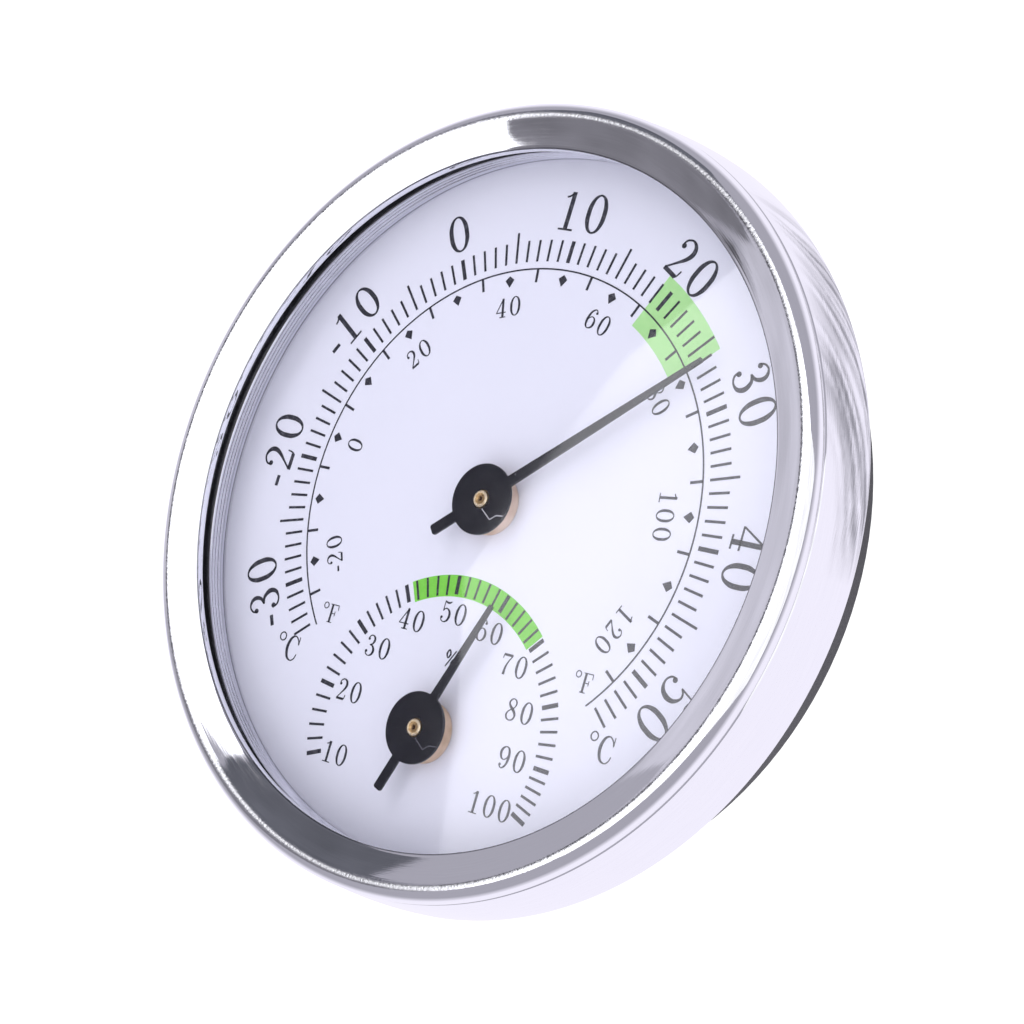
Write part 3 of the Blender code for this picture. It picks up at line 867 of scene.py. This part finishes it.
for kind, pivot in pivots.items():
    tip, tail, width, tip_width = needles[kind]
    half = width / 2
    meet = math.degrees(math.asin(half / hub_radius))
    outline = [(tip_width / 2, tip), (-tip_width / 2, tip)]
    outline += arc_points((0, 0), hub_radius, 90 + meet, 270 - meet, 36)
    outline += [(-half, -tail + tail_chamfer), (-half * 0.7, -tail), (half * 0.7, -tail)]
    outline += [(half, -tail + tail_chamfer)]
    outline += arc_points((0, 0), hub_radius, -90 + meet, 90 - meet, 36)
    stamping = bmesh.new()
    for ring in (outline, arc_points((0, 0), bore_radius, 0, 350, 35)):
        corners = [stamping.verts.new((x, y, 0)) for x, y in ring]
        for pair in zip(corners, corners[1:] + corners[:1]):
            stamping.edges.new(pair)
    bmesh.ops.triangle_fill(stamping, use_beauty=True, edges=stamping.edges[:])
    raise_faces(stamping, needle_bottom, needle_top)
    ease_edges(stamping, stamping_edge_break)
    size = Vector((2 * tab_half, tab_outer - tab_inner, needle_top - tab_sink - tab_foot))
    middle = Vector((0, -(tab_inner + tab_outer) / 2, tab_foot + size.z / 2))
    place = Matrix.Translation(middle) @ Matrix.Diagonal((*size, 1))
    bmesh.ops.create_cube(stamping, size=1, matrix=place)
    turn = Matrix.Rotation(-math.radians(readings[kind]), 4, "Z")
    bmesh.ops.transform(stamping, matrix=Matrix.Translation(pivot) @ turn, verts=stamping.verts)
    name, body = f"{kind}_pointer_stamping", f"{kind}_pointer"
    pointer = finished(name, stamping, black_lacquer(kind, pivot), body, 20)
    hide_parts(body)


# Spacer ring and gasket. A bright drawn ring stands on the dial, and a flat black plastic gasket
# lies between it and the lens; both are clamped with the rest of the stack.

ring_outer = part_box("spacer_ring")[1].x
ring_inner = 31.7 * MM
ring_bottom = 9.55 * MM
ring_top = 11.6 * MM
gasket_inner = 31.75 * MM
gasket_top = 11.77 * MM
gasket_chamfer = 0.04 * MM
bead_count = 4
bead_pitch = 0.4 * MM
bead_depth = 0.09 * MM
bead_top = 0.24 * MM
bead_foot = 0.08 * MM
first_groove = ring_top - 0.32 * MM

bright_chrome, tree, shader = new_finish("bright_chrome")
where = node(tree, "ShaderNodeTexCoord").outputs["Object"]
_, deep, _ = node(tree, "ShaderNodeSeparateXYZ", {"Vector": where}).outputs
streaks = noise(tree, place_of(tree, (90, 9000, 90)), 5, 3)
# Painted shade: the grooves between the beads are painted near-black.
below_first = maths(tree, "ADD", deep, first_groove)
in_groove = maths(tree, "PINGPONG", below_first, bead_pitch / 2)
groove_shade = ranged(tree, in_groove, 0.02 * MM, 0.07 * MM, 1, 0)
chrome = mixed(tree, streaks, (0.74, 0.74, 0.80, 1), (0.90, 0.90, 0.94, 1))
tint = mixed(tree, groove_shade, chrome, (0.06, 0.06, 0.075, 1))
surfaced(tree, shader, tint, streaks, 0.10, 0.2, 0.1, 0.01 * MM)
shader.inputs["Metallic"].default_value = 1

profile = [(ring_outer, ring_bottom), (ring_outer, ring_top), (ring_inner + bead_depth, ring_top)]
for bead in range(bead_count):
    groove = first_groove - bead * bead_pitch
    profile += [(ring_inner, groove + bead_top), (ring_inner, groove + bead_foot)]
    profile += [(ring_inner + bead_depth, groove)]
profile += [(ring_inner + bead_depth, ring_bottom)]
drawn = turned(profile, 192)
ring = finished("spacer_ring_drawn", drawn, bright_chrome, "case", 25)
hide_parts("spacer_ring")

gasket_black, tree, shader = new_finish("gasket_black")
grain = noise(tree, place_of(tree), 4000, 3)
tint = mixed(tree, grain, (0.012, 0.012, 0.014, 1), (0.030, 0.030, 0.034, 1))
surfaced(tree, shader, tint, grain, 0.5, 0.7, 0.3, 0.01 * MM)
seal = turned(
    [
        (ring_outer, ring_top), (ring_outer, gasket_top),
        (gasket_inner + gasket_chamfer, gasket_top), (gasket_inner, gasket_top - gasket_chamfer),
        (gasket_inner, ring_top + gasket_chamfer), (gasket_inner + gasket_chamfer, ring_top),
    ],
    192,
)
finished("lens_gasket", seal, gasket_black, "case", 25)


# Lens. A flat clear acrylic disc, cut from sheet, with its edge broken all round. It is clamped
# between the bezel's lip and the gasket.

lens_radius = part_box("lens")[1].x
lens_bottom = 11.8 * MM
lens_top = 12.8 * MM
lens_chamfer = 0.15 * MM
head_on_mirror = 0.04

clear_acrylic = bpy.data.materials.new("clear_acrylic")
clear_acrylic.use_nodes = True
tree = clear_acrylic.node_tree
tree.nodes.remove(tree.nodes["Principled BSDF"])
smudge = noise(tree, place_of(tree), 70, 5)
haze = ranged(tree, smudge, 0.35, 0.75, 0.01, 0.05)
gloss = node(tree, "ShaderNodeBsdfAnisotropic", {"Color": (1, 1, 1, 1), "Roughness": haze})
clear = node(tree, "ShaderNodeBsdfTransparent", {"Color": (0.985, 0.985, 1.0, 1)})
slant = node(tree, "ShaderNodeLayerWeight", {"Blend": 0.5}).outputs["Facing"]
grazing = maths(tree, "POWER", slant, 5.0)
mirror_share = ranged(tree, grazing, 0, 1, head_on_mirror, 1)
inputs = {0: mirror_share, 1: clear.outputs[0], 2: gloss.outputs[0]}
blend = node(tree, "ShaderNodeMixShader", inputs)
tree.links.new(blend.outputs[0], tree.nodes["Material Output"].inputs["Surface"])
profile = [
    (0, lens_bottom),
    (lens_radius - lens_chamfer, lens_bottom),
    (lens_radius, lens_bottom + lens_chamfer),
    (lens_radius, lens_top - lens_chamfer),
    (lens_radius - lens_chamfer, lens_top),
    (0, lens_top),
]
disc = turned(profile, 128, closed=False)
pane = finished("lens_disc", disc, clear_acrylic, "case", 25)
pane.visible_shadow = False
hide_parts("lens")


# Bezel. One spun aluminium shell, polished: a slightly dished front ring that rises to a rolled
# edge, a fine groove under the roll, a bowed side wall, and a rear edge that is turned in and
# holds the stack.

case_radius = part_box("bezel_shell")[1].x
front_height = -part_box("bezel_shell")[0].y
bezel_wall = 0.6 * MM
opening_radius = 31.2 * MM
opening_height = 13.8 * MM
lip_end = 13.1 * MM
roll_radius = 1.2 * MM
roll_start = 105
wall_flare = 0.6 * MM
rear_curl = 1.1 * MM
groove_drop = 1.4 * MM
groove_half = 0.15 * MM
groove_depth = 0.12 * MM
dish_depth = 0.04 * MM
widest_height = 7.5 * MM
rear_edge = 6.2 * MM
edge_break = 0.07 * MM

roll_centre = (case_radius - wall_flare - roll_radius, front_height - roll_radius)
roll = arc_points(roll_centre, roll_radius, roll_start, 0, 16)
ridge_radius = roll_centre[0] - 0.1 * MM
ridge_depth = -front_height + 0.15 * MM
outer = [(opening_radius, lip_end), (opening_radius, opening_height)]
for step in range(1, 8):
    share = step / 8
    drop = 4 * dish_depth * share * (1 - share)
    outer.append((
        opening_radius + (roll[0][0] - opening_radius) * share,
        opening_height + (roll[0][1] - opening_height) * share - drop,
    ))
outer += roll
groove_height = front_height - groove_drop
wall_top = groove_height - groove_half
smooth_wall = []
for step in range(9):
    share = 1 - step / 8
    height = widest_height + (wall_top - widest_height) * share
    smooth_wall.append((case_radius - wall_flare * share ** 2, height))
for step in range(1, 9):
    share = step / 8
    height = widest_height + (rear_edge - widest_height) * share
    smooth_wall.append((case_radius - rear_curl * share ** 2, height))
groove = [
    (roll[-1][0], groove_height + groove_half),
    (roll[-1][0] - groove_depth, groove_height + groove_half / 3),
    (roll[-1][0] - groove_depth, groove_height - groove_half / 3),
]


def inset_line(line, distance):
    """The same line moved sideways into the metal, with mitred corners."""
    points = [Vector(point) for point in line]
    moved = []
    for i, point in enumerate(points):
        before = (point - points[i - 1]).normalized() if i else (points[1] - point).normalized()
        after = (points[i + 1] - point).normalized() if i < len(points) - 1 else before
        side_before, side_after = (Vector((way.y, -way.x)) for way in (before, after))
        middle = (side_before + side_after).normalized()
        moved.append(tuple(point + middle * distance / middle.dot(side_before)))
    return moved


inner = inset_line(outer + smooth_wall, bezel_wall)
shell = turned(outer + groove + smooth_wall + inner[::-1], 256)
ease_edges(shell, edge_break, sharper_than=40)

polished_aluminium, tree, shader = new_finish("polished_aluminium")
where = node(tree, "ShaderNodeTexCoord").outputs["Object"]
x, y, z = node(tree, "ShaderNodeSeparateXYZ", {"Vector": where}).outputs
flat = node(tree, "ShaderNodeCombineXYZ", {"X": x, "Y": z}).outputs[0]
radius = vector_maths(tree, "LENGTH", flat)
outward = vector_maths(tree, "NORMALIZE", flat)
out_x, out_z, _ = node(tree, "ShaderNodeSeparateXYZ", {"Vector": outward}).outputs


def lathe_lines(tree, pitch, swing, detail):
    """Noise drawn out round the ring: fine across the turning marks, long beside them."""
    across = maths(tree, "MULTIPLY", radius, 1 / pitch)
    down = maths(tree, "MULTIPLY", y, 1 / pitch)
    around = maths(tree, "MULTIPLY", out_x, swing)
    about = maths(tree, "MULTIPLY", out_z, swing)
    vector = node(tree, "ShaderNodeCombineXYZ", {"X": across, "Y": down, "Z": around}).outputs[0]
    inputs = {"Vector": vector, "W": about, "Scale": 1.0, "Detail": detail}
    return node(tree, "ShaderNodeTexNoise", inputs, noise_dimensions="4D").outputs["Fac"]


fine = lathe_lines(tree, 0.12 * MM, 9, 3)
broad = lathe_lines(tree, 0.8 * MM, 4, 2)
worn = noise(tree, place_of(tree), 220, 5)
scuffs = ranged(tree, worn, 0.45, 0.72, 0, 1)
# Fine scuffs sparkle along the ridge, where the front ring turns over into the roll.
from_ridge = maths(tree, "SUBTRACT", radius, ridge_radius)
off_ridge = maths(tree, "ABSOLUTE", from_ridge)
on_ridge = ranged(tree, off_ridge, 0.1 * MM, 0.42 * MM, 1, 0)
on_face = ranged(tree, y, ridge_depth, ridge_depth + 0.2 * MM, 1, 0)
sparkle = noise(tree, place_of(tree), 3800, 3)
rubbed = maths(tree, "MULTIPLY", on_ridge, on_face)
grit = maths(tree, "MULTIPLY", sparkle, rubbed)
deep_grit = maths(tree, "MULTIPLY", grit, 7.0)
# A narrow line of painted shade darkens the very edge of the opening.
tint = mixed(tree, fine, (0.88, 0.88, 0.915, 1), (0.95, 0.95, 0.98, 1))
at_edge = ranged(tree, radius, opening_radius + 0.06 * MM, opening_radius + 0.16 * MM, 1, 0)
on_top = ranged(tree, y, 0.1 * MM - opening_height, 0.04 * MM - opening_height, 0, 0.8)
painted_edge_shade = maths(tree, "MULTIPLY", at_edge, on_top)
tint = mixed(tree, painted_edge_shade, tint, (0.09, 0.09, 0.11, 1))
tree.links.new(tint, shader.inputs["Base Color"])
rough_lines = ranged(tree, fine, 0.35, 0.7, 0.02, 0.055)
rough_scuffs = maths(tree, "MULTIPLY", scuffs, 0.05)
rough = maths(tree, "ADD", rough_lines, rough_scuffs)
rough_ridge = maths(tree, "MULTIPLY_ADD", grit, 0.35, rough)
tree.links.new(rough_ridge, shader.inputs["Roughness"])
lines = maths(tree, "ADD", fine, broad)
heights = maths(tree, "ADD", lines, deep_grit)
bumped(tree, shader, heights, 0.12, 0.02 * MM)
shader.inputs["Metallic"].default_value = 1
shader.inputs["Anisotropic"].default_value = 0.3
tangent = node(tree, "ShaderNodeTangent", direction_type="RADIAL", axis="Y")
tree.links.new(tangent.outputs[0], shader.inputs["Tangent"])
bezel = finished("bezel_spinning", shell, polished_aluminium, "case", 30)
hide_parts("bezel_shell")


# Studio: a plain white floor well below the gauge, a white room, and soft cards round it. The key
# card is the large white one in front; grey cards give the polished ring its darker parts.

def place_at(bearing, rise, distance):
    """A point so many degrees right of straight in front, and above level, of the dial."""
    turn, lift = math.radians(bearing), math.radians(rise)
    level = math.cos(lift)
    return Vector((math.sin(turn) * level, -math.cos(turn) * level, math.sin(lift))) * distance


def stage_finish(name, colour, glow):
    """An even glow that reflects nothing."""
    finish, _, shader = new_finish(name)
    shader.inputs["Base Color"].default_value = (0, 0, 0, 1)
    shader.inputs["Specular IOR Level"].default_value = 0
    shader.inputs["Emission Color"].default_value = (*colour, 1)
    shader.inputs["Emission Strength"].default_value = glow
    return finish


def card(name, corners, distance, colour, glow, faded=False):
    """A flat card whose corners are given by bearing and rise; the camera doesn't see it.

    A faded one is streaked from top to bottom and dies away at its edges.
    """
    work = bmesh.new()
    places = [place_at(bearing, rise, distance) for bearing, rise in corners]
    face = work.faces.new([work.verts.new(place) for place in places])
    finish = stage_finish(name, colour, glow)
    tree = finish.node_tree
    uneven = noise(tree, place_of(tree), 7, 2)
    brightness = ranged(tree, uneven, 0.3, 0.7, 0.84 * glow, 1.16 * glow)
    tree.links.new(brightness, tree.nodes["Principled BSDF"].inputs["Emission Strength"])
    if faded:
        spread = work.loops.layers.uv.new("spread")
        for loop, place in zip(face.loops, ((0, 0), (0, 1), (1, 1), (1, 0))):
            loop[spread].uv = place
        where = node(tree, "ShaderNodeUVMap", uv_map="spread").outputs[0]
        across, up, _ = node(tree, "ShaderNodeSeparateXYZ", {"Vector": where}).outputs
        inputs = {"Vector": where, "Scale": (22, 1.2, 1)}
        drawn = node(tree, "ShaderNodeMapping", inputs).outputs[0]
        streak = noise(tree, drawn, 1, 3)
        share = ranged(tree, streak, 0.42, 0.58, 0, 1)
        for way in (across, up):
            inward = maths(tree, "PINGPONG", way, 0.5)
            fade = ranged(tree, inward, 0, 0.2, 0, 1)
            share = maths(tree, "MULTIPLY", share, fade)
        clear = node(tree, "ShaderNodeBsdfTransparent").outputs[0]
        glowing = tree.nodes["Principled BSDF"].outputs[0]
        both = node(tree, "ShaderNodeMixShader", {0: share, 1: clear, 2: glowing}).outputs[0]
        tree.links.new(both, tree.nodes["Material Output"].inputs["Surface"])
    sheet = made_of(name, work, finish)
    sheet.visible_camera = False


cool_white = (0.97, 0.97, 1.0)
lavender = (0.90, 0.88, 1.0)
card(
    "key_card",
    [
        (-35, -22), (-35, -16.5), (-39.3, -2.7), (-39.8, -0.3), (-40.4, 2.9), (-39.4, 5.1),
        (-37.5, 9.6), (-26.6, 24.4), (20, 24.4), (20, -22),
    ],
    1.60, cool_white, 1.75,
)
card("right_card", [(20, -22), (20, 24.4), (70, 24.4), (70, -22)], 1.60, cool_white, 1.1)
card(
    "top_grey", [(-35, -24), (-35, -16), (-39.3, -7), (-64, -7), (-64, -24)],
    1.5, lavender, 0.235,
)
card("side_pale", [(-61, -7), (-62, 13), (-80, 13), (-80, -7)], 1.5, lavender, 0.68)
card(
    "middle_dark",
    [
        (-38.2, -6), (-39.1, -0.5), (-39.9, 2.9), (-39.2, 5.1), (-37.4, 9.6), (-33.5, 15),
        (-59, 15), (-59, -6),
    ],
    1.45, lavender, 0.11,
)
card(
    "high_dark", [(-50.7, 18), (-33, 18), (-26.6, 24.4), (-26.6, 42), (-50.7, 42)],
    1.4, (0.82, 0.84, 1.0), 0.155,
)
card("wall_grey", [(130, 4), (130, 44), (205, 44), (205, 4)], 1.4, lavender, 0.36, faded=True)

floor_height = -0.62
floor_mesh = bmesh.new()
bmesh.ops.create_grid(
    floor_mesh, x_segments=1, y_segments=1, size=6, matrix=Matrix.Translation((0, 0, floor_height))
)
floor_white = stage_finish("floor_white", cool_white, 0.85)
floor_shader = floor_white.node_tree.nodes["Principled BSDF"]
floor_shader.inputs["Base Color"].default_value = (0.8, 0.8, 0.8, 1)
floor = made_of("studio_floor", floor_mesh, floor_white)
floor.visible_glossy = False

world = bpy.data.worlds.new("white_room")
world.use_nodes = True
bpy.context.scene.world = world
tree = world.node_tree
tree.nodes.remove(tree.nodes["Background"])
facing = node(tree, "ShaderNodeTexCoord").outputs["Generated"]
_, depth, _ = node(tree, "ShaderNodeSeparateXYZ", {"Vector": facing}).outputs
behind = ranged(tree, depth, -0.25, 0.25, 0, 1)
tone = mixed(tree, behind, (0.41, 0.40, 0.46, 1), (0.96, 0.93, 1.04, 1))
room = node(tree, "ShaderNodeBackground", {"Color": tone, "Strength": 1})
paper = node(tree, "ShaderNodeBackground", {"Color": (1, 1, 1, 1), "Strength": 1.2})
seen = node(tree, "ShaderNodeLightPath").outputs["Is Camera Ray"]
both = node(tree, "ShaderNodeMixShader", {0: seen, 1: room.outputs[0], 2: paper.outputs[0]})
tree.links.new(both.outputs[0], tree.nodes["World Output"].inputs["Surface"])


def soft_light(name, bearing, rise, distance, size, power):
    """A round lamp that faces the gauge and isn't seen in its polish."""
    lamp = bpy.data.lights.new(name, "AREA")
    lamp.shape = "DISK"
    lamp.size = size
    lamp.energy = power
    holder = bpy.data.objects.new(name, lamp)
    holder.location = place_at(bearing, rise, distance)
    holder.rotation_euler = (-holder.location).to_track_quat("-Z", "Y").to_euler()
    holder.visible_glossy = False
    bpy.context.scene.collection.objects.link(holder)


soft_light("front_fill", -20, 42, 0.9, 0.6, 1.35)
bpy.context.scene.view_settings.view_transform = "Standard"


# Camera, to the right of the dial and a little below its middle, leaning over to its own right.
# It stands close, with a fairly long lens, and everything is in focus.

camera_data = bpy.data.cameras.new("camera")
camera_data.sensor_width = 36
camera_data.lens = 88.36
camera_data.clip_start = 0.005
camera = bpy.data.objects.new("camera", camera_data)
camera.location = (0.1410, -0.1770, -0.01915)
camera.rotation_euler = [math.radians(turn) for turn in (95.144, -16.147, 38.200)]
bpy.context.scene.collection.objects.link(camera)
bpy.context.scene.camera = camera
